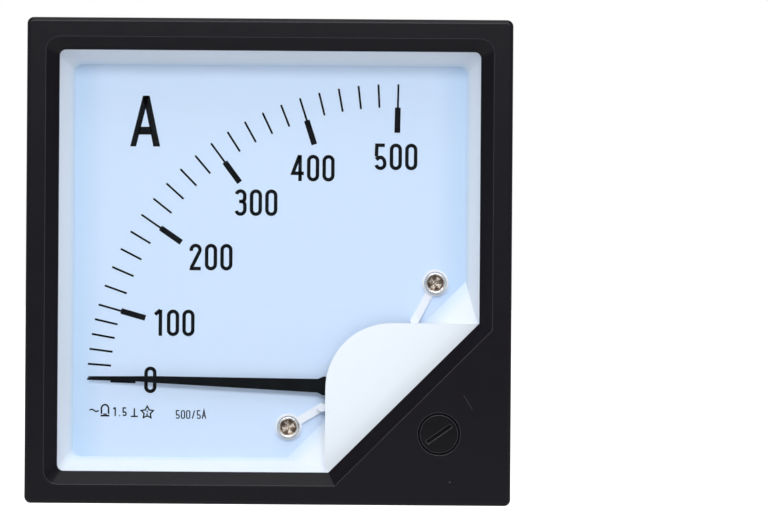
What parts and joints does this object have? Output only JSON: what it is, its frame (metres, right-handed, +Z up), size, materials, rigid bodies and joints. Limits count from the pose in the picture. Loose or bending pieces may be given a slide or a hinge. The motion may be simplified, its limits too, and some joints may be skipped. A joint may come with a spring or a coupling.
{
  "type": "analog panel meter",
  "caption": "Square-front analog panel meter with a corner-pivoted pointer, a quarter-circle scale, a zero adjuster and rear stud terminals.",
  "frame": {"origin": "centre of the panel cut-out, on the plane where the rear of the front frame meets the panel", "axes": "+X to the right seen from the front, +Y into the panel, +Z up"},
  "size_m": [0.12, 0.082, 0.12],
  "materials": {
    "black_plastic": "moulded black plastic, satin",
    "case_plastic": "moulded black phenolic, matte",
    "plug_plastic": "moulded black plastic, slight gloss",
    "white_plastic": "moulded white plastic, satin",
    "window": "clear sheet glass",
    "seal_rubber": "black foam rubber",
    "dial_paint": "pale blue-white paint with black print",
    "pointer_paint": "matte black paint on aluminium",
    "nickel": "nickel-plated steel",
    "steel": "plain steel",
    "iron": "soft iron sheet",
    "brass": "turned brass",
    "aluminium": "plain aluminium",
    "casting": "die-cast light alloy",
    "magnet": "sintered magnet",
    "bobbin_plastic": "moulded black plastic",
    "copper_wire": "enamelled copper wire",
    "lead_cover": "red wire covering"
  },
  "bodies": {
    "root": {"bezel": "black_plastic", "window_seal": "seal_rubber", "window_glass": "window", "adjuster_retainer": "steel", "dial_mask": "white_plastic", "dial_plate": "dial_paint", "dial_screws": "nickel", "zero_stop": "white_plastic", "full_scale_stop": "white_plastic", "front_bridge": "steel", "front_jewel": "brass", "rear_bridge": "steel", "rear_jewel": "brass", "movement_frame": "casting", "coil_bobbin": "bobbin_plastic", "coil_winding": "copper_wire", "fixed_iron": "iron", "damping_magnets": "magnet", "magnet_bracket": "steel", "frame_screws": "steel", "rear_case": "case_plastic", "terminal_studs": "brass", "terminal_lugs": "nickel", "coil_leads": "lead_cover", "flat_washers": "nickel", "spring_washers": "nickel", "terminal_nuts": "brass"},
    "moving_system": {"pointer": "pointer_paint", "pointer_hub": "brass", "spindle": "steel", "balance_arms": "aluminium", "counterweights": "brass", "moving_iron": "iron", "damping_vane": "aluminium"},
    "zero_adjuster": {"zero_adjuster": "plug_plastic"},
    "zero_lever": {"zero_lever": "steel", "hairspring": "brass"}
  },
  "joints": [
    {"name": "pointer_swing", "type": "hinge", "parent": "root", "child": "moving_system", "pos_m": [0.0304, 0, -0.0314], "axis": [0, 1, 0], "range_deg": [-5, 94.5], "stiffness_Nm_per_rad": 0.001, "deforming": ["hairspring"]},
    {"name": "zero_adjuster_turn", "type": "hinge", "parent": "root", "child": "zero_adjuster", "pos_m": [0.0423, 0, -0.0423], "axis": [0, 1, 0], "range_deg": [-35, 35]},
    {"name": "zero_lever_swing", "type": "hinge", "parent": "root", "child": "zero_lever", "pos_m": [0.0304, 0, -0.0314], "axis": [0, 1, 0], "range_deg": [-4, 4]}
  ],
  "couplings": [
    {"joint": "zero_lever_swing", "follows": "zero_adjuster_turn", "ratio": -0.11}
  ]
}
